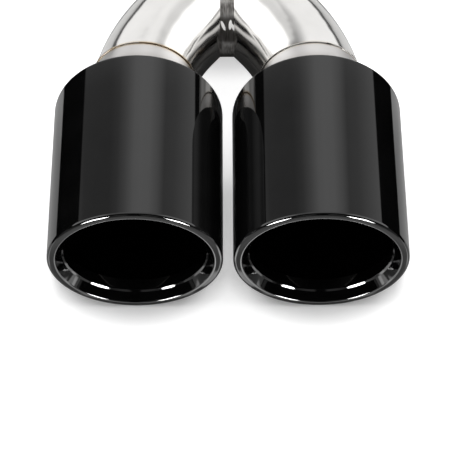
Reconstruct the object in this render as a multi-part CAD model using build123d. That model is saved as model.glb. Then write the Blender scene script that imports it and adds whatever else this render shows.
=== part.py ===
from build123d import *
from math import cos, radians, sin, tan
import os

# Outlet sleeves: 4 in gloss black shells, slant-cut with the top lip forward
sleeve_od = 101.6
sleeve_spacing = 107.4
sleeve_length = 120.3
slant = 12.2
sheet = 1.5
rear_edge_radius = 1.0

# Rolled lip of a sleeve, as widths inwards and depths behind its slanted front face
lip_face_width = 4.6
lip_bevel_width = 5.05
lip_bevel_depth = 7.1
lip_return_depth = 15.0
lip_depth = 10.0
lip_edge_radius = 2.5
lip_crease_radius = 1.9
lip_throat_radius = 3.0

# Inner liner, a matte funnel from the collar out to the rolled lip
liner_wall = 1.2
liner_front_depth = 9.0
liner_mouth_depth = 28.4
liner_overlap = 10.0

# Rear cap, a dished ring between the sleeve and the collar
cap_recess = 1.2
cap_flange = 9.0
cap_corner = 2.4

# Legs: 62 mm mandrel-bent tube
pipe_od = 62.0
bend_start = 4.2
bend_radius = 128.8
bend_angle = 35.0
collar_front = -44.0
seam_y = 31.6
seam_tilt = 4.0

# Welds
weld_height = 0.6
collar_weld_width = 2.8
merge_weld_width = 8.6
inlet_weld_width = 4.0

# Inlet: a short neck swaged out into a slip-on socket for a pipe of the legs' size
socket_clearance = 0.15
socket_length = 42.0
swage_length = 6.0
neck_length = 6.0

fit_gap = 0.02

sleeve_r = sleeve_od / 2
sleeve_inner_r = sleeve_r - sheet
lip_face_r = sleeve_r - lip_face_width
lip_throat_r = lip_face_r - lip_bevel_width
pipe_r = pipe_od / 2
pipe_inner_r = pipe_r - sheet
leg_x = -sleeve_spacing / 2
slant_rise = tan(radians(slant))
socket_r = pipe_r + socket_clearance

# The bend ends on a straight run that meets its mirror image on the centre plane
arc_end_x = leg_x + bend_radius * (1 - cos(radians(bend_angle)))
arc_end_y = bend_start + bend_radius * sin(radians(bend_angle))
merge_y = arc_end_y - arc_end_x / tan(radians(bend_angle))
mitre_rise = tan(radians(bend_angle / 2))
neck_y = merge_y + mitre_rise * (pipe_r + weld_height) + neck_length
socket_y = neck_y + swage_length
mouth_y = socket_y + socket_length
reach = 4 * sleeve_od


def ring(profile):
    return revolve(Plane.XY * make_face(profile), Axis.Y)


def at_sleeve(shape):
    return Pos(leg_x, 0, 0) * shape


def sheared(shape):
    lean = Matrix([[1, 0, 0, 0], [0, 1, -slant_rise, 0], [0, 0, 1, 0]])
    return shape.transform_geometry(lean)


def front_cut(depth):
    # Everything ahead of the slanted plane that lies a depth behind the front face
    block = Pos(0, -reach / 2 - sleeve_length + depth, 0) * Box(reach, reach, reach)
    return sheared(block)


def outer_sleeve():
    front = -sleeve_length
    skin = FilletPolyline(
        (sleeve_r, front + lip_depth),
        (sleeve_r, front),
        (lip_face_r, front),
        (lip_throat_r, front + lip_bevel_depth),
        (lip_throat_r, front + lip_return_depth),
        radius=[lip_edge_radius, lip_crease_radius, lip_throat_radius],
    )
    lip = sheared(ring(offset(skin, amount=sheet, side=Side.RIGHT)))
    tube = Plane.XZ * (Circle(sleeve_r) - Circle(sleeve_inner_r))
    barrel = extrude(tube, amount=sleeve_length + sleeve_r) - front_cut(lip_depth)
    rear_rim = barrel.edges().filter_by(GeomType.CIRCLE).group_by(Axis.Y)[-1].sort_by(SortBy.RADIUS)[-1]
    return at_sleeve(fillet(rear_rim, rear_edge_radius) + lip)


def inner_liner():
    wide = lip_throat_r + sheet + fit_gap
    narrow = pipe_r + fit_gap
    front = -sleeve_length - sleeve_r * slant_rise
    cone_start = liner_mouth_depth - sleeve_length
    cone_end = collar_front - liner_wall
    rear = collar_front + liner_overlap
    wall = Polyline(
        (wide, front),
        (wide, cone_start),
        (narrow, cone_end),
        (narrow, rear),
        (narrow + liner_wall, rear),
        (narrow + liner_wall, cone_end),
        (wide + liner_wall, cone_start),
        (wide + liner_wall, front),
        close=True,
    )
    return at_sleeve(ring(wall) - front_cut(liner_front_depth))


def rear_cap():
    inner = pipe_r + fit_gap
    outer = sleeve_inner_r - fit_gap
    wall = FilletPolyline(
        (inner, -cap_recess),
        (outer, -cap_recess),
        (outer, -cap_recess - cap_flange),
        (outer - sheet, -cap_recess - cap_flange),
        (outer - sheet, -cap_recess - sheet),
        (inner, -cap_recess - sheet),
        radius=[0, cap_corner, 0, 0, cap_corner - sheet, 0],
        close=True,
    )
    return at_sleeve(ring(wall))


def leg_path():
    start = Line((leg_x, collar_front), (leg_x, bend_start))
    bend = JernArc(start @ 1, start % 1, bend_radius, -bend_angle)
    run = Line(bend @ 1, (bend @ 1) + (bend % 1) * (2 * pipe_od))
    return start + bend + run


def leg_rod(radius):
    path = leg_path()
    section = Plane(path @ 0, z_dir=path % 0) * Circle(radius)
    return sweep(section, path=path)


def seam_slab(near, far):
    # The space between two planes across the left leg, measured from the seam
    turn = radians(bend_angle) * (seam_y - bend_start) / (arc_end_y - bend_start)
    seam_x = leg_x + bend_radius * (1 - cos(turn))
    slab = Pos(0, (near + far) / 2, 0) * Box(2 * pipe_od, far - near, 2 * pipe_od)
    return Pos(seam_x, seam_y, 0) * Rot(0, 0, -seam_tilt) * slab


def chevron(near, far):
    # The V-shaped space along the mitre between the legs and the inlet neck
    side = pipe_od
    points = [
        (-side, merge_y + mitre_rise * side + near),
        (0, merge_y + near),
        (side, merge_y + mitre_rise * side + near),
        (side, merge_y + mitre_rise * side + far),
        (0, merge_y + far),
        (-side, merge_y + mitre_rise * side + far),
    ]
    face = make_face(Polyline(*points, close=True))
    return extrude(face, amount=pipe_od, both=True)


def leg_trim(half_gap):
    # Left of the centre weld and ahead of the inlet mitre
    left = Pos(-reach / 2 - half_gap, 0, 0) * Box(reach, 2 * reach, reach)
    return left - chevron(0, reach)


def collar(leg):
    return leg & seam_slab(-reach, 0)


def elbow(leg):
    return leg & seam_slab(0, reach)


def collar_weld():
    half = collar_weld_width / 2
    band = leg_rod(pipe_r + weld_height) & seam_slab(-half, half)
    rim = band.edges().filter_by(GeomType.LINE, reverse=True)
    band = chamfer(rim, weld_height * 0.7)
    return band - leg_rod(pipe_r)


def merge_weld(left_elbow):
    end = left_elbow.faces().filter_by(Axis.X).sort_by(Axis.X)[-1]
    strip = extrude(end, amount=merge_weld_width, dir=(1, 0, 0))
    return strip - chevron(0, reach)


def inlet_rod(grow):
    # Solid of the neck and socket, its radii grown by a wall thickness
    neck = pipe_inner_r + grow
    socket = socket_r + grow
    profile = Polyline(
        (0, arc_end_y),
        (neck, arc_end_y),
        (neck, neck_y),
        (socket, socket_y),
        (socket, mouth_y),
        (0, mouth_y),
        close=True,
    )
    return ring(profile)


def inlet_pipe():
    return (inlet_rod(sheet) - inlet_rod(0)) & chevron(0, reach)


def inlet_weld(pieces):
    half = inlet_weld_width / 2
    leg = leg_rod(pipe_r + weld_height) & leg_trim(0)
    body = leg + mirror(leg, about=Plane.YZ)
    body += inlet_rod(sheet + weld_height) & chevron(0, reach)
    bead = body & chevron(-half, half)
    inside = leg_rod(pipe_r - sheet / 2) & leg_trim(0)
    bead -= inside
    bead -= mirror(inside, about=Plane.YZ)
    bead -= inlet_rod(sheet / 2)
    for piece in pieces:
        bead -= piece
    return bead


def build():
    tube = leg_rod(pipe_r) - leg_rod(pipe_inner_r)
    leg = tube & leg_trim(merge_weld_width / 2)
    left = {
        "outer_sleeve": outer_sleeve(),
        "inner_liner": inner_liner(),
        "rear_cap": rear_cap(),
        "collar": collar(leg),
        "elbow": elbow(leg),
        "collar_weld": collar_weld(),
    }
    nodes = {}
    for name, piece in left.items():
        nodes["left_" + name] = piece
        nodes["right_" + name] = mirror(piece, about=Plane.YZ)
    nodes["merge_weld"] = merge_weld(left["elbow"])
    nodes["inlet_pipe"] = inlet_pipe()
    joined = ["left_elbow", "right_elbow", "merge_weld", "inlet_pipe"]
    nodes["inlet_weld"] = inlet_weld([nodes[name] for name in joined])
    return nodes


os.makedirs("parts", exist_ok=True)
for name, piece in build().items():
    placed = Pos(0, -mouth_y, 0) * piece
    export_step(placed, "parts/" + name + ".step")
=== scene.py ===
from math import cos, exp, pi, radians, sin, tan

import bmesh
import bpy
from mathutils import Matrix, Vector, noise


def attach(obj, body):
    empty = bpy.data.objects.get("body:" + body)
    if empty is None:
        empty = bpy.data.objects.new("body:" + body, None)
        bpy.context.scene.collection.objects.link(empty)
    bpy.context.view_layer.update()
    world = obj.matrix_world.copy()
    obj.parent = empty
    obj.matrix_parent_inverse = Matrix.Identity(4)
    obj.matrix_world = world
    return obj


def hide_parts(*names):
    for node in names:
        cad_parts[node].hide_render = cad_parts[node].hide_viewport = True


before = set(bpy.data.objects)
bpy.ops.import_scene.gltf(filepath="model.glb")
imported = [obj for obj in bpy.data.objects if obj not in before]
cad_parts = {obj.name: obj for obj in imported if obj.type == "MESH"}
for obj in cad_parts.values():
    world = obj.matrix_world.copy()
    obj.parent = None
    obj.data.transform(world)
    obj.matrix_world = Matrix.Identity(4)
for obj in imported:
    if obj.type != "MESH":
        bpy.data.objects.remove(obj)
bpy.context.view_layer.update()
print("frame loaded,", len(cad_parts), "nodes")

# sizes in metres, y is 0 at the back of the sleeves until a piece is placed
sleeve = {
    "diameter": 0.1016,
    "spacing": 0.1074,
    "length": 0.1203,
    "slant": 12.2,
    "sheet": 0.0015,
    "faceWidth": 0.0046,
    "bevelWidth": 0.00505,
    "bevelDepth": 0.0071,
    "ridgeWidth": 0.0011,
    "ridgeDepth": 0.0011,
    "returnDepth": 0.0150,
    "rearRadius": 0.0010,
    "edgeRadius": 0.0025,
    "creaseRadius": 0.0017,
    "ridgeRadius": 0.0010,
    "throatRadius": 0.0008,
    "backCrease": (0.0007, 0.0005),
    "backRadii": (0.0010, 0.0003, 0.0015),
    "segments": 288,
}
leg = {
    "diameter": 0.0620,
    "wall": 0.0015,
    "bendStart": 0.0042,
    "bendRadius": 0.1288,
    "bendAngle": 35.0,
    "collarFront": -0.0440,
    "seamY": 0.0316,
    "seamTilt": 4.0,
    "segments": 240,
    "tintReach": 0.0022,
    "tintFade": 1.4,
    "tintLeft": 0.6,
    "tintRight": 0.25,
    # reach of the painted shade on the collars beside the sleeves
    "sleeveShadeReach": (0.026, 0.017),
    "collarRows": 40,
    "elbowRows": 110,
}
mergeStrip = {
    "width": 0.0086,
    "crown": 0.00022,
    "unevenness": 0.00012,
    "grainScale": 900,
    "rows": 26,
    "edgeSteps": 90,
    "crease": 50,
    "knots": (  # x, z, height, lean
        (-0.0024, 0.0130, 0.0010, 0.5),
        (0.0020, 0.0134, 0.0010, -0.1),
        (0.0040, 0.0120, 0.0006, 0.6),
    ),
    "knotSize": (0.0010, 0.0022),
    # colour of the painted glints on the tack knots
    "glintColour": (0.95, 0.94, 0.92),
    "steel": ((0.36, (0.10, 0.092, 0.085)), (0.5, (0.48, 0.46, 0.44)), (0.64, (0.86, 0.85, 0.83))),
    "markScale": (2600.0, 180.0, 180.0),
    # heights of the painted crotch shade on the strip
    "crotchShade": (0.0020, 0.0050, 0.0155, 0.0190),
    "crotchShadeBelow": (-0.0050, -0.0100),
    "crotchShadeColour": (0.04, 0.035, 0.03),
}
inlet = {
    "clearance": 0.00015,
    "socket": 0.0420,
    "swage": 0.0060,
    "neck": 0.0060,
    "outerBends": (0.008, 0.008),
    "innerBends": (0.008, 0.004),
    # depth and strength of the painted shade inside the inlet socket
    "shadeDepth": 0.004,
    "socketShade": 0.15,
    "segments": 224,
}
bead = {
    "height": 0.0006,
    "collarWidth": 0.0013,
    "inletWidth": 0.0040,
    "pitch": 0.0013,
    "overlap": 1.15,
    "lean": 14,
    "variation": (0.88, 1.12),
    "seamSteps": 360,
    "seed": 11,
}
fitGap = 0.00002

sleeveR = sleeve["diameter"] / 2
faceR = sleeveR - sleeve["faceWidth"]
throatR = faceR - sleeve["bevelWidth"]
slantRise = tan(radians(sleeve["slant"]))
legR = leg["diameter"] / 2
legInnerR = legR - leg["wall"]
legX = -sleeve["spacing"] / 2
bendEnd = radians(leg["bendAngle"])


def bendPoint(heading):
    x = legX + leg["bendRadius"] * (1 - cos(heading))
    return Vector((x, leg["bendStart"] + leg["bendRadius"] * sin(heading), 0))


arcEnd = bendPoint(bendEnd)
mergeY = arcEnd.y - arcEnd.x / tan(bendEnd)
mitreRise = tan(bendEnd / 2)
neckY = mergeY + mitreRise * (legR + bead["height"]) + inlet["neck"]
socketY = neckY + inlet["swage"]
mouthY = socketY + inlet["socket"]
socketR = legR + inlet["clearance"]
halfStrip = mergeStrip["width"] / 2
mouthShift = Vector((0, mouthY, 0))
nearTip = 0.0002  # a profile point this close to a cut edge belongs to it


# materials

def socket(sockets, name):
    return next(s for s in sockets if s.name == name and s.enabled)


def feed(tree, spot, value):
    if isinstance(value, bpy.types.NodeSocket):
        tree.links.new(value, spot)
    else:
        spot.default_value = value


def addNode(tree, kind, settings=None, **inputs):
    node = tree.nodes.new(kind)
    for key, value in (settings or {}).items():
        setattr(node, key, value)
    for key, value in inputs.items():
        feed(tree, socket(node.inputs, key.replace("_", " ")), value)
    return node


def mathNode(tree, operation, first, second=0.0, third=0.0):
    node = tree.nodes.new("ShaderNodeMath")
    node.operation = operation
    for spot, value in zip(node.inputs, (first, second, third)):
        feed(tree, spot, value)
    return node.outputs[0]


def product(tree, first, *others):
    for other in others:
        first = mathNode(tree, "MULTIPLY", first, other)
    return first


def axes(tree, vector):
    return addNode(tree, "ShaderNodeSeparateXYZ", Vector=vector).outputs


def ramp(tree, factor, stops):
    node = addNode(tree, "ShaderNodeValToRGB", Fac=factor)
    marks = node.color_ramp.elements
    while len(marks) < len(stops):
        marks.new(0.5)
    for mark, (place, colour) in zip(marks, stops):
        mark.position = place
        mark.color = (*colour, 1)
    return node.outputs["Color"]


def greyRamp(tree, factor, stops):
    return ramp(tree, factor, [(place, (level,) * 3) for place, level in stops])


def spread(tree, factor, low, high):
    node = addNode(tree, "ShaderNodeMapRange", Value=factor)
    node.inputs["To Min"].default_value = low
    node.inputs["To Max"].default_value = high
    return node.outputs["Result"]


def between(tree, value, low, high):
    node = addNode(tree, "ShaderNodeMapRange", {"interpolation_type": "SMOOTHSTEP"}, Value=value)
    node.inputs["From Min"].default_value = low
    node.inputs["From Max"].default_value = high
    return node.outputs["Result"]


def window(tree, value, start, full, fullEnd, end):
    return product(tree, between(tree, value, start, full), between(tree, value, end, fullEnd))


def blend(tree, factor, low, high, kind="FLOAT", style="MIX"):
    node = addNode(tree, "ShaderNodeMix", {"data_type": kind, "blend_type": style}, Factor=factor)
    feed(tree, socket(node.inputs, "A"), low)
    feed(tree, socket(node.inputs, "B"), high)
    return socket(node.outputs, "Result")


def mixColour(tree, factor, low, high, style="MIX"):
    return blend(tree, factor, low, high, "RGBA", style)


def startFinish(name):
    finish = bpy.data.materials.new(name)
    finish.use_nodes = True
    tree = finish.node_tree
    shader = tree.nodes["Principled BSDF"]
    where = addNode(tree, "ShaderNodeTexCoord").outputs["Object"]
    return finish, tree, shader, where


def speckle(tree, where, scale, detail=3.0, rough=0.5):
    node = addNode(tree, "ShaderNodeTexNoise", Vector=where, Scale=scale, Detail=detail, Roughness=rough)
    return socket(node.outputs, "Fac")


def bumped(tree, shader, height, strength, distance):
    node = addNode(tree, "ShaderNodeBump", Height=height, Strength=strength, Distance=distance)
    tree.links.new(node.outputs["Normal"], shader.inputs["Normal"])


glossBlack = {
    "dark": (0.0022, 0.0022, 0.0023),
    "pale": (0.0036, 0.0036, 0.0037),
    "rough": (0.03, 0.06),
    "shine": 0.65,
}


def glossBlackFinish():
    finish, tree, shader, where = startFinish("glossBlack")
    cloud = speckle(tree, where, 60.0)
    tree.links.new(ramp(tree, cloud, [(0.3, glossBlack["dark"]), (0.7, glossBlack["pale"])]),
                   shader.inputs["Base Color"])
    tree.links.new(spread(tree, cloud, *glossBlack["rough"]), shader.inputs["Roughness"])
    shader.inputs["Specular IOR Level"].default_value = glossBlack["shine"]
    bumped(tree, shader, speckle(tree, where, 420.0, 2.0), 0.05, 0.00006)  # faint orange peel
    return finish


matteBlack = {
    "dark": (0.0006, 0.0006, 0.0006),
    "pale": (0.0014, 0.0013, 0.0013),
    "rough": (0.75, 0.95),
}


def matteBlackFinish():
    finish, tree, shader, where = startFinish("matteBlack")
    cloud = speckle(tree, where, 90.0, 5.0)
    tree.links.new(ramp(tree, cloud, [(0.3, matteBlack["dark"]), (0.75, matteBlack["pale"])]),
                   shader.inputs["Base Color"])
    tree.links.new(spread(tree, cloud, *matteBlack["rough"]), shader.inputs["Roughness"])
    shader.inputs["Specular IOR Level"].default_value = 0.0
    bumped(tree, shader, speckle(tree, where, 1500.0, 2.0), 0.2, 0.0002)
    return finish


collarSteel = {
    "dark": (0.62, 0.605, 0.595),
    "pale": (0.70, 0.685, 0.675),
    "rough": (0.30, 0.40),
    "sleeveShade": 0.6,
}
polishedSteel = {
    "dark": (0.71, 0.70, 0.685),
    "pale": (0.79, 0.78, 0.765),
    "rough": (0.09, 0.13),
    "sleeveShade": 0.0,
}
# colour of the painted shade on the collars beside the sleeves
sleeveShadeColour = (0.36, 0.33, 0.30)
# colour of the painted shade inside the tubes
tubeShadeColour = (0.030, 0.028, 0.026)
heatTint = (
    (0.0, (1.0, 1.0, 1.0)),
    (0.35, (0.86, 0.72, 0.50)),
    (0.7, (0.50, 0.33, 0.20)),
    (1.0, (0.30, 0.24, 0.24)),
)


def steelFinish(name, steel):
    finish, tree, shader, where = startFinish(name)
    along, tint, inside = (
        addNode(tree, "ShaderNodeAttribute", {"attribute_name": mark}).outputs["Fac"]
        for mark in ("along", "tint", "inside"))
    cloud = speckle(tree, where, 35.0, 4.0)
    rings = addNode(tree, "ShaderNodeCombineXYZ", X=along).outputs[0]
    lines = speckle(tree, rings, 2600.0, 3.0)  # polishing rings
    metal = ramp(tree, cloud, [(0.3, steel["dark"]), (0.7, steel["pale"])])
    sleeveShade = between(tree, axes(tree, where)["Y"], *(reach - mouthY for reach in leg["sleeveShadeReach"]))
    sleeveShade = product(tree, sleeveShade, steel["sleeveShade"])  # painted shade close to the sleeve, for its dark reflection
    metal = mixColour(tree, sleeveShade, metal, (*sleeveShadeColour, 1))
    patch = product(tree, tint, spread(tree, speckle(tree, where, 120.0, 4.0), 0.35, 1.25))
    burnt = mixColour(tree, 1.0, metal, ramp(tree, patch, heatTint), "MULTIPLY")
    # painted shade inside the tubes: the inner walls dark and dull
    tree.links.new(mixColour(tree, inside, burnt, (*tubeShadeColour, 1)), shader.inputs["Base Color"])
    tree.links.new(mathNode(tree, "SUBTRACT", 1.0, inside), shader.inputs["Metallic"])
    grain = mathNode(tree, "ADD", spread(tree, cloud, *steel["rough"]), spread(tree, lines, -0.02, 0.03))
    grain = mathNode(tree, "MULTIPLY_ADD", inside, 0.6, grain)
    tree.links.new(grain, shader.inputs["Roughness"])
    waves = product(tree, speckle(tree, where, 55.0, 1.0), 0.0004)  # the tube isn't quite true
    bumped(tree, shader, mathNode(tree, "MULTIPLY_ADD", lines, 0.0000016, waves), 1.0, 1.0)
    return finish


weldTint = {
    "left": (
        (0.28, (0.16, 0.12, 0.09)),
        (0.45, (0.42, 0.31, 0.20)),
        (0.6, (0.60, 0.55, 0.49)),
        (0.75, (0.38, 0.35, 0.34)),
    ),
    "right": (
        (0.34, (0.09, 0.085, 0.08)),
        (0.46, (0.50, 0.48, 0.46)),
        (0.7, (0.66, 0.65, 0.63)),
    ),
    "rough": (0.22, 0.42),
}


def weldFinish():
    finish, tree, shader, where = startFinish("tintedWeld")
    cloud = speckle(tree, where, 170.0, 4.0)
    straw = ramp(tree, cloud, weldTint["left"])
    grey = ramp(tree, cloud, weldTint["right"])
    side = between(tree, axes(tree, where)["X"], -0.02, 0.02)
    tree.links.new(mixColour(tree, side, straw, grey), shader.inputs["Base Color"])
    shader.inputs["Metallic"].default_value = 1.0
    tree.links.new(spread(tree, cloud, *weldTint["rough"]), shader.inputs["Roughness"])
    bumped(tree, shader, speckle(tree, where, 1400.0), 0.2, 0.0001)
    return finish


# where the painted glints on the tack knots sit
def tackGlints(tree, spot):
    wide, tall = mergeStrip["knotSize"]
    bright = 0.0
    for knotX, knotZ, height, lean in mergeStrip["knots"]:
        up = mathNode(tree, "SUBTRACT", spot["Z"], knotZ)
        off = mathNode(tree, "MULTIPLY_ADD", up, lean, mathNode(tree, "SUBTRACT", spot["X"], knotX))
        far = product(tree, off, off, wide ** -2)
        far = mathNode(tree, "MULTIPLY_ADD", product(tree, up, up), tall ** -2, far)
        bright = mathNode(tree, "MAXIMUM", bright, between(tree, far, 1.3, 0.8))
    return bright


def groundFinish():
    finish, tree, shader, where = startFinish("groundWeld")
    stretch = addNode(tree, "ShaderNodeMapping", Vector=where)
    stretch.inputs["Scale"].default_value = mergeStrip["markScale"]  # grinding marks run down the strip
    marks = speckle(tree, stretch.outputs[0], 1.0, 4.0)
    cloud = speckle(tree, where, 160.0, 4.0)
    mixed = mathNode(tree, "MULTIPLY_ADD", marks, 0.5, product(tree, cloud, 0.5))
    metal = ramp(tree, mixed, mergeStrip["steel"])
    spot = axes(tree, where)
    # painted shade of the crotch on the strip, under the tack knots and low down
    crotchShade = mathNode(tree, "MAXIMUM", window(tree, spot["Z"], *mergeStrip["crotchShade"]),
                      between(tree, spot["Z"], *mergeStrip["crotchShadeBelow"]))
    coat = mixColour(tree, product(tree, crotchShade, 0.8), metal, (*mergeStrip["crotchShadeColour"], 1))
    bright = tackGlints(tree, spot)  # painted glints: the tack knots pale and dull
    coat = mixColour(tree, bright, coat, (*mergeStrip["glintColour"], 1))
    tree.links.new(coat, shader.inputs["Base Color"])
    tree.links.new(blend(tree, bright, spread(tree, mixed, 0.42, 0.2), 0.35), shader.inputs["Roughness"])
    tree.links.new(blend(tree, bright, 0.7, 0.0), shader.inputs["Metallic"])
    bumped(tree, shader, mixed, 0.35, 0.00025)
    return finish


finishes = {
    "gloss_black": glossBlackFinish(),
    "matte_black": matteBlackFinish(),
    "collar_steel": steelFinish("collarSteel", collarSteel),
    "polished_steel": steelFinish("polishedSteel", polishedSteel),
    "tinted_weld": weldFinish(),
    "ground_weld": groundFinish(),
}
print("finishes ready")


# shared mesh help

def roundedPath(points, radii, steps=9, guard=0.0004):
    path = [Vector(points[0])]
    for before, corner, after, radius in zip(points, points[1:], points[2:], radii):
        corner = Vector(corner)
        back = (Vector(before) - corner).normalized()
        ahead = (Vector(after) - corner).normalized()
        half = back.angle(ahead) / 2
        start = corner + back * (radius / tan(half))
        end = corner + ahead * (radius / tan(half))
        centre = corner + (back + ahead).normalized() * (radius / sin(half))
        path.append(start + back * guard)  # keeps the shading of the straight part flat
        for step in range(steps + 1):
            arm = (start - centre).lerp(end - centre, step / steps)
            path.append(centre + arm.normalized() * radius)
        path.append(end + ahead * guard)
    path.append(Vector(points[-1]))
    return path


def thickened(path, wall):
    back = []
    for index, point in enumerate(path):
        before = path[max(index - 1, 0)]
        after = path[min(index + 1, len(path) - 1)]
        way = (after - before).normalized()
        back.append(point + Vector((way.y, -way.x)) * wall)
    return path + back[::-1]


def linkPiece(name, mesh):
    piece = bpy.data.objects.new(name, mesh)
    bpy.context.scene.collection.objects.link(piece)
    return piece


def plainMesh(carrier, name):
    bpy.context.view_layer.update()
    graph = bpy.context.evaluated_depsgraph_get()
    mesh = bpy.data.meshes.new_from_object(carrier.evaluated_get(graph))
    carrier.modifiers.clear()
    bpy.data.objects.remove(carrier)
    return linkPiece(name, mesh)


def grown(carrier, tree, name, given):
    maker = carrier.modifiers.new(tree.name, "NODES")
    maker.node_group = tree
    for item in tree.interface.items_tree:
        if item.in_out == "INPUT" and item.name in given:
            maker[item.identifier] = given[item.name]
    return plainMesh(carrier, name)


def setMark(mesh, mark, values):
    mesh.attributes.new(mark, "FLOAT", "POINT").data.foreach_set("value", values)


def squareUp(piece, crease=32):
    shape = bmesh.new()
    shape.from_mesh(piece.data)
    bmesh.ops.recalc_face_normals(shape, faces=shape.faces)
    shape.to_mesh(piece.data)
    shape.free()
    piece.data.shade_smooth()
    piece.data.set_sharp_from_angle(angle=radians(crease))
    return piece


def mirrored(piece, name):
    mesh = piece.data.copy()
    mesh.transform(Matrix.Diagonal((-1, 1, 1, 1)))
    mesh.flip_normals()
    return linkPiece(name, mesh)


def finishPiece(piece, node, slotName):
    piece.data.materials.clear()
    piece.data.materials.append(finishes[slotName])
    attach(piece, "root")
    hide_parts(node)


# spun shells: a closed wall profile turned about a sleeve or inlet axis

def spunTree():
    tree = bpy.data.node_groups.new("spunShell", "GeometryNodeTree")
    face = tree.interface
    face.new_socket("Profile", in_out="INPUT", socket_type="NodeSocketGeometry")
    face.new_socket("Segments", in_out="INPUT", socket_type="NodeSocketInt")
    face.new_socket("Slant Rise", in_out="INPUT", socket_type="NodeSocketFloat")
    face.new_socket("Mitre Rise", in_out="INPUT", socket_type="NodeSocketFloat")
    face.new_socket("Centre", in_out="INPUT", socket_type="NodeSocketVector")
    face.new_socket("Finish", in_out="INPUT", socket_type="NodeSocketMaterial")
    face.new_socket("Shell", in_out="OUTPUT", socket_type="NodeSocketGeometry")
    given = tree.nodes.new("NodeGroupInput").outputs
    count = addNode(tree, "GeometryNodeAttributeDomainSize", Geometry=given["Profile"]).outputs["Point Count"]
    turns = mathNode(tree, "ADD", given["Segments"], 1.0)
    rows = mathNode(tree, "ADD", count, 1.0)
    sheet = addNode(tree, "GeometryNodeMeshGrid", Vertices_X=rows, Vertices_Y=turns)
    index = tree.nodes.new("GeometryNodeInputIndex").outputs[0]
    place = mathNode(tree, "FLOOR", mathNode(tree, "DIVIDE", mathNode(tree, "ADD", index, 0.5), turns))
    turn = mathNode(tree, "SUBTRACT", index, product(tree, place, turns))
    angle = product(tree, mathNode(tree, "DIVIDE", turn, given["Segments"]), 2 * pi)
    point = mathNode(tree, "MODULO", mathNode(tree, "ADD", place, 0.25), count)

    def profileValue(kind, value):
        node = addNode(tree, "GeometryNodeSampleIndex", {"data_type": kind, "domain": "POINT"},
                       Geometry=given["Profile"], Value=value, Index=point)
        return socket(node.outputs, "Value")

    def profileMark(name):
        node = addNode(tree, "GeometryNodeInputNamedAttribute", {"data_type": "FLOAT"}, Name=name)
        return profileValue("FLOAT", socket(node.outputs, "Attribute"))

    spot = profileValue("FLOAT_VECTOR", tree.nodes.new("GeometryNodeInputPosition").outputs[0])
    flat = axes(tree, spot)
    x = product(tree, flat["X"], mathNode(tree, "COSINE", angle))
    z = product(tree, flat["X"], mathNode(tree, "SINE", angle))
    lean = product(tree, profileMark("lean"), given["Slant Rise"], z)
    vee = product(tree, profileMark("vee"), given["Mitre Rise"], mathNode(tree, "ABSOLUTE", x))
    y = mathNode(tree, "ADD", mathNode(tree, "SUBTRACT", flat["Y"], lean), vee)
    turned = addNode(tree, "ShaderNodeCombineXYZ", X=x, Y=y, Z=z).outputs[0]
    placed = addNode(tree, "ShaderNodeVectorMath", {"operation": "ADD"})
    tree.links.new(turned, placed.inputs[0])
    tree.links.new(given["Centre"], placed.inputs[1])
    shaped = addNode(tree, "GeometryNodeSetPosition", Geometry=sheet.outputs["Mesh"],
                     Position=placed.outputs[0])
    marked = shaped.outputs[0]
    for name in ("along", "inside"):
        node = addNode(tree, "GeometryNodeStoreNamedAttribute", {"data_type": "FLOAT", "domain": "POINT"},
                       Geometry=marked, Name=name, Value=profileMark(name))
        marked = node.outputs[0]
    closed = addNode(tree, "GeometryNodeMergeByDistance", Geometry=marked, Distance=0.000001)
    real = addNode(tree, "GeometryNodeRealizeInstances", Geometry=closed.outputs[0])
    coated = addNode(tree, "GeometryNodeSetMaterial", Geometry=real.outputs[0], Material=given["Finish"])
    out = tree.nodes.new("NodeGroupOutput")
    tree.links.new(coated.outputs[0], out.inputs[0])
    return tree


shellTree = spunTree()


def spunShell(name, profile, marks, segments, centre, slotName):
    mesh = bpy.data.meshes.new(name + "Profile")
    size = len(profile)
    edges = [(index, (index + 1) % size) for index in range(size)]
    mesh.from_pydata([(p.x, p.y, 0) for p in profile], edges, [])
    for mark in ("lean", "vee", "along", "inside"):
        setMark(mesh, mark, marks.get(mark, [0.0] * size))
    given = {"Segments": segments, "Slant Rise": slantRise, "Mitre Rise": mitreRise, "Centre": centre,
             "Finish": finishes[slotName]}
    return squareUp(grown(linkPiece(name + "Carrier", mesh), shellTree, name, given))


def sleeveProfile():
    front = -sleeve["length"]
    throat = front + sleeve["bevelDepth"]
    innerR = sleeveR - sleeve["sheet"]
    rear = front + sleeve["returnDepth"]
    ridge = (throatR + sleeve["ridgeWidth"], throat - sleeve["ridgeDepth"])  # inner ring of the double lip
    corners = [(innerR, 0), (sleeveR, 0), (sleeveR, front), (faceR, front), ridge, (throatR, throat),
               (throatR, rear)]
    radii = [sleeve["rearRadius"], sleeve["edgeRadius"], sleeve["creaseRadius"], sleeve["ridgeRadius"],
             sleeve["throatRadius"]]
    skin = roundedPath(corners, radii)
    backR = throatR + sleeve["sheet"]
    backCorners = [(innerR, 0), (innerR, front + sleeve["sheet"]),
                   (faceR + sleeve["backCrease"][0], front + sleeve["sheet"]),
                   (backR, throat + sleeve["backCrease"][1]), (backR, rear)]
    back = roundedPath(backCorners, sleeve["backRadii"])
    wall = skin + back[:0:-1]
    lean = [1.0 if p.y < front / 2 else 0.0 for p in wall]
    return wall, {"lean": lean}


liner = {
    "wall": 0.0012,
    "frontDepth": 0.0090,
    "mouthDepth": 0.0284,
    "overlap": 0.0100,
    "bends": (0.006, 0.012),
    "segments": 160,
}


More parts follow.
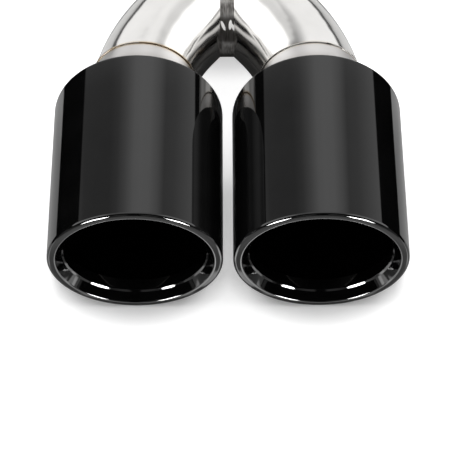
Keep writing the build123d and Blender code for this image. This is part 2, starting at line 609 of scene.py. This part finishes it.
def linerProfile():
    wide = throatR + sleeve["sheet"] + fitGap
    narrow = legR + fitGap
    front = -sleeve["length"] + liner["frontDepth"]
    coneStart = -sleeve["length"] + liner["mouthDepth"]
    coneEnd = leg["collarFront"] - liner["wall"]
    rear = leg["collarFront"] + liner["overlap"]
    skin = roundedPath([(narrow, rear), (narrow, coneEnd), (wide, coneStart), (wide, front)], liner["bends"])
    wall = thickened(skin, -liner["wall"])
    lean = [1.0 if p.y < front + nearTip else 0.0 for p in wall]
    return wall, {"lean": lean}


cap = {"recess": 0.0012, "flange": 0.0090, "corner": 0.0024, "segments": 192}


def capProfile():
    inner = legR + fitGap
    outer = sleeveR - sleeve["sheet"] - fitGap
    back = -cap["recess"]
    skin = roundedPath([(inner, back), (outer, back), (outer, back - cap["flange"])], [cap["corner"]])
    return thickened(skin, leg["wall"]), {}


def inletProfile():
    socketOuterR = socketR + leg["wall"]
    skin = roundedPath([(legR, mergeY), (legR, neckY), (socketOuterR, socketY), (socketOuterR, mouthY)],
                       inlet["outerBends"])
    inner = roundedPath([(legInnerR, mergeY), (legInnerR, neckY), (socketR, socketY), (socketR, mouthY)],
                        inlet["innerBends"])
    wall = skin + inner[::-1]
    # painted shade inside the inlet: full deep in, faint in the socket near its mouth
    shadeEnd = socketY + inlet["shadeDepth"]
    vee = [1.0 if p.y < mergeY + nearTip else 0.0 for p in wall]
    inside = [0.0] * len(skin) + [1.0 if p.y < shadeEnd else inlet["socketShade"] for p in inner[::-1]]
    return wall, {"vee": vee, "along": [p.y for p in wall], "inside": inside}


shells = (
    ("Sleeve", "_outer_sleeve", sleeveProfile, sleeve, "gloss_black"),
    ("Liner", "_inner_liner", linerProfile, liner, "matte_black"),
    ("Cap", "_rear_cap", capProfile, cap, "gloss_black"),
)
for side, x in (("left", legX), ("right", -legX)):
    for part, node, profile, sizes, slotName in shells:
        wall, marks = profile()
        shell = spunShell(side + part, wall, marks, sizes["segments"], (x, -mouthY, 0), slotName)
        finishPiece(shell, side + node, slotName)
wall, marks = inletProfile()
finishPiece(spunShell("inletPipe", wall, marks, inlet["segments"], (0, -mouthY, 0), "polished_steel"),
            "inlet_pipe", "polished_steel")
print("sleeves, liners, caps and inlet spun")


# bent legs, cut by the seam plane, the centre strip and the inlet mitre

def legPoint(run, angle, radius):
    straight = leg["bendStart"] - leg["collarFront"]
    bend = leg["bendRadius"] * bendEnd
    heading = min(max((run - straight) / leg["bendRadius"], 0.0), bendEnd)
    way = Vector((sin(heading), cos(heading), 0))
    side = Vector((cos(heading), -sin(heading), 0))
    if run < straight:
        base = Vector((legX, leg["collarFront"] + run, 0))
    elif run < straight + bend:
        base = bendPoint(heading)
    else:
        base = arcEnd + way * (run - straight - bend)
    outward = side * cos(angle) + Vector((0, 0, sin(angle)))
    return base + outward * radius, outward


seamTurn = bendEnd * (leg["seamY"] - leg["bendStart"]) / (arcEnd.y - leg["bendStart"])
seamSpot = Vector((legX + leg["bendRadius"] * (1 - cos(seamTurn)), leg["seamY"], 0))
seamWay = Vector((sin(radians(leg["seamTilt"])), cos(radians(leg["seamTilt"])), 0))


def pastStart(point):
    return point.y - leg["collarFront"]


def pastSeam(point):
    return (point - seamSpot).dot(seamWay)


def pastStrip(point):
    return point.x + halfStrip


def pastMitre(point):
    return point.y - mergeY + mitreRise * point.x


def pastMerge(point):
    return max(pastStrip(point), pastMitre(point))


longestRun = 0.4
halvings = 44


def runTo(rule, angle, radius):
    low, high = 0.0, longestRun
    for step in range(halvings):
        middle = (low + high) / 2
        if rule(legPoint(middle, angle, radius)[0]) < 0:
            low = middle
        else:
            high = middle
    return high


def legPiece(name, startRule, endRule, rows):
    around = leg["segments"]
    spots, along, tint, inside = [], [], [], []
    for radius in (legR, legInnerR):
        for step in range(around):
            angle = 2 * pi * step / around
            first = runTo(startRule, angle, radius)
            last = runTo(endRule, angle, radius)
            for row in range(rows + 1):
                run = first + (last - first) * row / rows
                point = legPoint(run, angle, radius)[0]
                reach = abs(pastSeam(point))
                spots.append(point - mouthShift)
                along.append(run)
                tint.append(max(0.0, 1 - reach / leg["tintReach"]) ** leg["tintFade"])
                inside.append(1.0 if radius == legInnerR else 0.0)
    faces = []
    block = around * (rows + 1)
    for step in range(around):
        here, there = step * (rows + 1), ((step + 1) % around) * (rows + 1)
        for row in range(rows):
            a, b = here + row, there + row
            faces.append((a, b, b + 1, a + 1))
            faces.append((block + a, block + a + 1, block + b + 1, block + b))
        faces.append((here, block + here, block + there, there))
        faces.append((here + rows, there + rows, block + there + rows, block + here + rows))
    mesh = bpy.data.meshes.new(name)
    mesh.from_pydata(spots, [], faces)
    for mark, values in (("along", along), ("tint", tint), ("inside", inside)):
        setMark(mesh, mark, values)
    return squareUp(linkPiece(name, mesh))


def scaledTint(piece, amount):
    marks = piece.data.attributes["tint"].data
    values = [0.0] * len(marks)
    marks.foreach_get("value", values)
    marks.foreach_set("value", [amount * value for value in values])


legParts = (
    ("collar", pastStart, pastSeam, leg["collarRows"], "collar_steel"),
    ("elbow", pastSeam, pastMerge, leg["elbowRows"], "polished_steel"),
)
for part, startRule, endRule, rows, slotName in legParts:
    onLeft = legPiece("left" + part.title(), startRule, endRule, rows)
    onRight = mirrored(onLeft, "right" + part.title())
    scaledTint(onLeft, leg["tintLeft"])
    scaledTint(onRight, leg["tintRight"])
    finishPiece(onLeft, "left_" + part, slotName)
    finishPiece(onRight, "right_" + part, slotName)
print("collars and elbows bent")


# centre strip: the gap between the legs, filled and ground nearly flush

def stripEdge(radius):
    low, high = 0.0, pi
    for step in range(halvings):  # angle where the strip meets the inlet mitre
        middle = (low + high) / 2
        point = legPoint(runTo(pastMerge, middle, radius), middle, radius)[0]
        if pastMitre(point) < -1e-7:
            low = middle
        else:
            high = middle
    steps = mergeStrip["edgeSteps"]
    line = []
    for step in range(-steps, steps + 1):
        angle = low * step / steps
        point = legPoint(runTo(pastMerge, angle, radius), angle, radius)[0]
        line.append(Vector((point.y, point.z)))
    return line


def stripPiece():
    outer, inner = stripEdge(legR), stripEdge(legInnerR)
    loop = outer + inner[::-1]
    size, rows = len(loop), mergeStrip["rows"]
    spots = []
    for row in range(rows + 1):
        across = 2 * row / rows - 1
        for index, spot in enumerate(loop):
            x = across * halfStrip
            y, z = spot
            if index < len(outer):
                way = (outer[min(index + 1, len(outer) - 1)] - outer[max(index - 1, 0)]).normalized()
                seat = Vector((x, y, z)) * mergeStrip["grainScale"]
                swell = mergeStrip["crown"] + mergeStrip["unevenness"] * noise.noise(seat)
                wide, tall = mergeStrip["knotSize"]
                for knotX, knotZ, height, lean in mergeStrip["knots"]:  # tack spots at the crotch
                    up = z - knotZ
                    off = x - knotX + lean * up
                    swell += height * exp(-(off / wide) ** 2 - (up / tall) ** 2)
                push = swell * (1 - across ** 4)
                y, z = y - abs(way.y) * push, z - way.x * push * (1 if way.y >= 0 else -1)
            y = min(y, mergeY + mitreRise * abs(x))
            spots.append((x, y - mouthY, z))
    faces = []
    for row in range(rows):
        for index in range(size):
            a, b = row * size + index, row * size + (index + 1) % size
            faces.append((a, b, b + size, a + size))
    last = rows * size
    mid = len(outer)
    for index in range(mid - 1):  # side walls between the outer and inner edge
        a, b, c, d = index, index + 1, size - 2 - index, size - 1 - index
        faces.append((d, c, b, a))
        faces.append((last + a, last + b, last + c, last + d))
    mesh = bpy.data.meshes.new("mergeStrip")
    mesh.from_pydata(spots, [], faces)
    return squareUp(linkPiece("mergeStrip", mesh), mergeStrip["crease"])


finishPiece(stripPiece(), "merge_weld", "ground_weld")
print("centre strip ground")


# rippled weld beads that follow a seam

def beadTree():
    tree = bpy.data.node_groups.new("rippledBead", "GeometryNodeTree")
    face = tree.interface
    face.new_socket("Seam", in_out="INPUT", socket_type="NodeSocketGeometry")
    for name in ("Pitch", "Width", "Height"):
        face.new_socket(name, in_out="INPUT", socket_type="NodeSocketFloat")
    face.new_socket("Seed", in_out="INPUT", socket_type="NodeSocketInt")
    face.new_socket("Finish", in_out="INPUT", socket_type="NodeSocketMaterial")
    face.new_socket("Bead", in_out="OUTPUT", socket_type="NodeSocketGeometry")
    given = tree.nodes.new("NodeGroupInput").outputs
    path = addNode(tree, "GeometryNodeMeshToCurve", Mesh=given["Seam"])
    even = addNode(tree, "GeometryNodeResampleCurve", {"mode": "LENGTH"}, Curve=path.outputs[0],
                   Length=given["Pitch"])
    drop = addNode(tree, "GeometryNodeMeshUVSphere", Segments=12, Rings=7, Radius=1.0)
    outward = addNode(tree, "GeometryNodeInputNamedAttribute", {"data_type": "FLOAT_VECTOR"}, Name="outward")
    upright = addNode(tree, "FunctionNodeAlignRotationToVector", {"axis": "Z"},
                      Vector=socket(outward.outputs, "Attribute"))
    tangent = tree.nodes.new("GeometryNodeInputTangent").outputs[0]
    facing = addNode(tree, "FunctionNodeAlignRotationToVector", {"axis": "Y", "pivot_axis": "Z"},
                     Rotation=upright.outputs[0], Vector=tangent)
    tilted = addNode(tree, "FunctionNodeRotateRotation", {"rotation_space": "LOCAL"},
                     Rotation=facing.outputs[0])
    tilted.inputs["Rotate By"].default_value = (radians(bead["lean"]), 0, 0)
    least, most = bead["variation"]
    vary = addNode(tree, "FunctionNodeRandomValue", {"data_type": "FLOAT"}, Min=least, Max=most,
                   Seed=given["Seed"])
    change = socket(vary.outputs, "Value")
    wide = product(tree, given["Width"], 0.5, change)
    tall = product(tree, given["Height"], change)
    long = product(tree, given["Pitch"], bead["overlap"])
    size = addNode(tree, "ShaderNodeCombineXYZ", X=wide, Y=long, Z=tall)
    laid = addNode(tree, "GeometryNodeInstanceOnPoints", Points=even.outputs[0],
                   Instance=drop.outputs["Mesh"], Rotation=tilted.outputs[0], Scale=size.outputs[0])
    real = addNode(tree, "GeometryNodeRealizeInstances", Geometry=laid.outputs[0])
    smooth = addNode(tree, "GeometryNodeSetShadeSmooth", Geometry=real.outputs[0])
    coated = addNode(tree, "GeometryNodeSetMaterial", Geometry=smooth.outputs[0], Material=given["Finish"])
    out = tree.nodes.new("NodeGroupOutput")
    tree.links.new(coated.outputs[0], out.inputs[0])
    return tree


rippleTree = beadTree()


def weldBead(name, seam, width, seed):
    mesh = bpy.data.meshes.new(name + "Seam")
    size = len(seam)
    mesh.from_pydata([point for point, outward in seam], [(i, (i + 1) % size) for i in range(size)], [])
    ways = [part for point, outward in seam for part in outward]
    mesh.attributes.new("outward", "FLOAT_VECTOR", "POINT").data.foreach_set("vector", ways)
    given = {"Pitch": bead["pitch"], "Width": width, "Height": bead["height"], "Seed": seed,
             "Finish": finishes["tinted_weld"]}
    return grown(linkPiece(name + "Carrier", mesh), rippleTree, name, given)


def seamAngles():
    return [2 * pi * step / bead["seamSteps"] for step in range(bead["seamSteps"])]


def collarSeam(flip):
    seam = []
    for angle in seamAngles():
        point, outward = legPoint(runTo(pastSeam, angle, legR), angle, legR)
        point = point - mouthShift
        point.x *= flip
        outward.x *= flip
        seam.append((point, outward))
    return seam


def inletSeam():
    seam = []
    for angle in seamAngles():
        outward = Vector((cos(angle), 0, sin(angle)))
        x, z = legR * cos(angle), legR * sin(angle)
        seam.append((Vector((x, mergeY + mitreRise * abs(x) - mouthY, z)), outward))
    return seam


seams = (
    ("leftCollarBead", "left_collar_weld", collarSeam(1), bead["collarWidth"]),
    ("rightCollarBead", "right_collar_weld", collarSeam(-1), bead["collarWidth"]),
    ("inletBead", "inlet_weld", inletSeam(), bead["inletWidth"]),
)
for order, (name, node, seam, width) in enumerate(seams):
    finishPiece(weldBead(name, seam, width, bead["seed"] + order), node, "tinted_weld")
print("weld beads laid")


# studio: pale floor, soft boxes, a sky whose bands only mirrors see, and the camera

floor = {
    "size": 6.0,
    "colour": 0.80,
    "glow": (0.70, 0.90),
    "contactGlow": (0.16, 0.42),
    "crotchGlow": 0.50,
    "shadowReach": 0.0175,
    "shadowCurve": (9.54, -0.312),
    "paperHalfWidth": 0.21,
    "paperFan": (0.75, 0.19),
    # painted tones of the floor in reflections: ahead, near, behind
    "inMirror": (0.50, 0.52, 0.80),
    "shadeUnderParts": 0.7,
    "glintAhead": 0.20,
    "glintNear": 1.6,
    "streaks": ((0.309, 0.0, 0.06), (0.279, 0.125, 0.24)),  # ahead of the origin, inner and outer end
    "streakLean": 0.275,
    "streakGlow": 1.5,
}


def floorFinish():
    finish, tree, shader, where = startFinish("paleFloor")
    grain = speckle(tree, where, 14.0)
    path = addNode(tree, "ShaderNodeLightPath").outputs
    spot = axes(tree, where)
    y = spot["Y"]
    aside = mathNode(tree, "ABSOLUTE", spot["X"])
    edge = floor["paperHalfWidth"]
    fan = mathNode(tree, "SUBTRACT", aside, mathNode(tree, "MULTIPLY_ADD", y, *floor["paperFan"]))
    # to mirrors alone the set is dark past the paper's sides, with painted shade under the part
    beyond = product(tree, between(tree, aside, edge - 0.004, edge + 0.004), between(tree, fan, -0.01, 0.01))
    under = product(tree, between(tree, aside, 0.11, 0.09), window(tree, y, -0.20, -0.17, 0.04, 0.08),
                    floor["shadeUnderParts"])
    paper = mathNode(tree, "SUBTRACT", 1.0, mathNode(tree, "MAXIMUM", beyond, under))
    # the floor's tone in reflections is painted: darker ahead of the part, paler behind it
    first, middle, last = floor["inMirror"]
    mirrorTone = blend(tree, between(tree, y, -0.315, -0.300), first, middle)
    mirrorTone = blend(tree, between(tree, y, -0.14, -0.06), mirrorTone, last)
    pale = spread(tree, grain, floor["colour"] - 0.01, floor["colour"])
    tone = blend(tree, path["Is Glossy Ray"], pale, product(tree, paper, mirrorTone))
    tree.links.new(addNode(tree, "ShaderNodeCombineColor", Red=tone, Green=tone, Blue=tone).outputs[0],
                   shader.inputs["Base Color"])
    shader.inputs["Roughness"].default_value = 0.9
    shader.inputs["Specular IOR Level"].default_value = 0.0
    # painted shadow of the tips on the floor as the camera sees it: it stays close, a curved edge ahead of
    # each lip, the gap behind it
    offset = mathNode(tree, "SUBTRACT", aside, -legX)
    edgeY = mathNode(tree, "MULTIPLY_ADD", product(tree, offset, offset), *floor["shadowCurve"])
    shade = mathNode(tree, "DIVIDE", mathNode(tree, "SUBTRACT", y, edgeY), floor["shadowReach"])
    shade = addNode(tree, "ShaderNodeClamp", Value=shade).outputs[0]
    rear = between(tree, y, -0.20, -0.10)
    shade = product(tree, shade, between(tree, offset, 0.056, 0.044), mathNode(tree, "SUBTRACT", 1.0, rear))
    contact = blend(tree, between(tree, aside, 0.030, 0.008), *floor["contactGlow"])
    glow = blend(tree, shade, blend(tree, rear, *floor["glow"]), contact)
    # painted shade on the floor in the crotch between the legs
    crotch = product(tree, between(tree, aside, 0.09, 0.06), between(tree, y, -0.106, -0.080))
    glow = blend(tree, crotch, glow, floor["crotchGlow"])
    # painted reflections: floor patches that glow only in mirrors, for what the lips mirror ahead of them
    patch = product(tree, between(tree, mathNode(tree, "ABSOLUTE", offset), 0.036, 0.026),
                    window(tree, y, -0.335, -0.325, -0.304, -0.3005))
    glint = product(tree, between(tree, y, -0.325, -0.345), floor["glintAhead"])
    glint = mathNode(tree, "MULTIPLY_ADD", patch, floor["glintNear"], glint)
    for ahead, inner, outer in floor["streaks"]:  # painted reflection streaks for the sides of the bevels, across the mouth
        line = mathNode(tree, "MULTIPLY_ADD", aside, floor["streakLean"], mathNode(tree, "ADD", y, ahead))
        band = product(tree, between(tree, mathNode(tree, "ABSOLUTE", line), 0.007, 0.004),
                       window(tree, aside, inner - 0.01, inner, outer, outer + 0.02))
        glint = mathNode(tree, "MULTIPLY_ADD", band, floor["streakGlow"], glint)
    glow = product(tree, path["Is Camera Ray"], glow)
    glow = mathNode(tree, "MULTIPLY_ADD", path["Is Glossy Ray"], glint, glow)
    shader.inputs["Emission Color"].default_value = (1, 1, 1, 1)
    tree.links.new(glow, shader.inputs["Emission Strength"])
    return finish


def layFloor():
    half = floor["size"] / 2
    mesh = bpy.data.meshes.new("floor")
    corners = [(x * half, y * half, -sleeveR) for x, y in ((-1, -1), (1, -1), (1, 1), (-1, 1))]
    mesh.from_pydata(corners, [], [(0, 1, 2, 3)])
    mesh.materials.append(floorFinish())
    linkPiece("floor", mesh)


layFloor()

lamps = {
    "boxPlace": (0.616, -0.788, 0.075),
    "boxSize": (0.40, 0.40),
    "boxPower": 40.0,
    "topPlace": (0.0, -0.20, 1.5),
    "topSize": (1.6, 1.6),
    "topPower": 20.0,
}


def softBox(name, place, target, power, size):
    lamp = bpy.data.lights.new(name, "AREA")
    lamp.shape = "RECTANGLE"
    lamp.size, lamp.size_y = size
    lamp.energy = power
    box = bpy.data.objects.new(name, lamp)
    bpy.context.scene.collection.objects.link(box)
    box.location = place
    box.rotation_euler = (Vector(place) - Vector(target)).to_track_quat("Z", "Y").to_euler()
    box.visible_camera = False
    return box


front = Vector((0, -sleeve["length"] - mouthY, 0))
boxX, boxY, boxZ = lamps["boxPlace"]
for name, side in (("leftBox", -1), ("rightBox", 1)):
    place = front + Vector((side * boxX, boxY, boxZ))
    box = softBox(name, place, front, lamps["boxPower"], lamps["boxSize"])
    box.visible_diffuse = False
topX, topY = lamps["topPlace"][:2]
top = softBox("topBox", lamps["topPlace"], (topX, topY, 0.0), lamps["topPower"], lamps["topSize"])
top.visible_glossy = False

sky = {
    "wallBands": ((0.138, 0.32), (0.16, 0.22), (0.30, 0.25), (0.355, 0.35), (0.41, 0.60), (0.485, 1.06),
                  (0.54, 1.14), (0.61, 1.09), (0.675, 0.76), (0.72, 0.40), (0.78, 0.42), (0.86, 0.60)),
    "overheadBands": ((0.0, 1.15), (0.10, 1.12), (0.22, 1.0), (0.32, 0.88), (0.46, 0.88), (0.56, 1.7),
                      (0.95, 1.7)),
    "backdrop": 1.12,
    "skirting": 0.10,
    "rimSlope": (-0.0613, 0.107),
    "frontFirst": 0.30,
    "frontSecond": (1.15, 1.7),
    "slot": 0.05,
    "forDiffuse": 0.35,
}


def studioWorld():
    world = bpy.data.worlds.new("studio")
    world.use_nodes = True
    tree = world.node_tree
    ground = tree.nodes["Background"]
    way = axes(tree, addNode(tree, "ShaderNodeTexCoord").outputs["Generated"])
    x, y, z = way["X"], way["Y"], way["Z"]
    aside = mathNode(tree, "ABSOLUTE", x)
    wall = greyRamp(tree, mathNode(tree, "MULTIPLY_ADD", x, 0.5, 0.5), sky["wallBands"])
    overhead = greyRamp(tree, aside, sky["overheadBands"])
    ring = window(tree, y, 0.60, 0.645, 0.72, 0.755)
    backdrop = blend(tree, between(tree, y, 0.60, 0.74), overhead, sky["backdrop"])
    skirting = product(tree, between(tree, z, 0.115, 0.075), between(tree, y, 0.76, 0.80))
    backdrop = blend(tree, skirting, backdrop, sky["skirting"])
    rim = mathNode(tree, "SUBTRACT", z, mathNode(tree, "MULTIPLY_ADD", x, *sky["rimSlope"]))
    lit = mathNode(tree, "MAXIMUM", between(tree, rim, -0.012, 0.012), between(tree, aside, 0.57, 0.53))
    behind = between(tree, y, -0.12, 0.05)  # these bands stop where the front begins
    seen = product(tree, blend(tree, ring, backdrop, wall), behind, lit)
    # a soft sky in front: faint in a first mirror image, full where the legs mirror each other
    tilt = mathNode(tree, "DIVIDE", y, mathNode(tree, "MAXIMUM", z, 0.01))
    low = product(tree, between(tree, tilt, -0.92, -1.04), window(tree, aside, 0.08, 0.16, 0.30, 0.62),
                  between(tree, z, 0.05, 0.45))
    first = mathNode(tree, "MULTIPLY_ADD", low, sky["frontFirst"], seen)
    hood = product(tree, between(tree, aside, 0.34, 0.12), window(tree, tilt, -1.35, -1.05, -0.62, -0.34))
    slot = product(tree, window(tree, y, -0.30, -0.25, -0.14, -0.09), between(tree, aside, 0.32, 0.24))
    soft = product(tree, between(tree, z, 0.05, 0.75), between(tree, aside, 0.85, 0.35),
                   between(tree, y, 0.05, -0.12), mathNode(tree, "SUBTRACT", 1.0, hood))
    level = blend(tree, between(tree, tilt, -0.48, -0.36), *sky["frontSecond"])
    second = mathNode(tree, "MULTIPLY_ADD", soft, level, seen)
    second = product(tree, second, blend(tree, slot, 1.0, sky["slot"]))
    path = addNode(tree, "ShaderNodeLightPath").outputs
    seen = blend(tree, between(tree, path["Glossy Depth"], 1.4, 1.6), first, second)
    strength = blend(tree, path["Is Glossy Ray"], sky["forDiffuse"], seen)
    strength = blend(tree, path["Is Camera Ray"], strength, 1.0)
    tree.links.new(strength, ground.inputs["Strength"])
    ground.inputs["Color"].default_value = (1, 1, 1, 1)
    bpy.context.scene.world = world


shot = {
    "aim": (-0.00174, -0.09091, 0.0),
    "distance": 1.590,
    "pitch": 46.61,
    "yaw": 0.17,
    "lens": 218.5,
}


def photoCamera():
    pitch, yaw = radians(shot["pitch"]), radians(shot["yaw"])
    ahead = Vector((sin(yaw) * cos(pitch), cos(yaw) * cos(pitch), -sin(pitch)))
    right = Vector((cos(yaw), -sin(yaw), 0))
    up = right.cross(ahead)
    aim = Vector(shot["aim"]) - mouthShift
    data = bpy.data.cameras.new("photoCamera")
    data.lens = shot["lens"]
    data.sensor_width = 36
    data.clip_end = 20
    camera = bpy.data.objects.new("photoCamera", data)
    bpy.context.scene.collection.objects.link(camera)
    turn = Matrix((right, up, -ahead)).transposed()
    camera.matrix_world = Matrix.Translation(aim - ahead * shot["distance"]) @ turn.to_4x4()
    bpy.context.scene.camera = camera


studioWorld()
photoCamera()
bpy.context.scene.view_settings.view_transform = "Standard"
print("studio set")
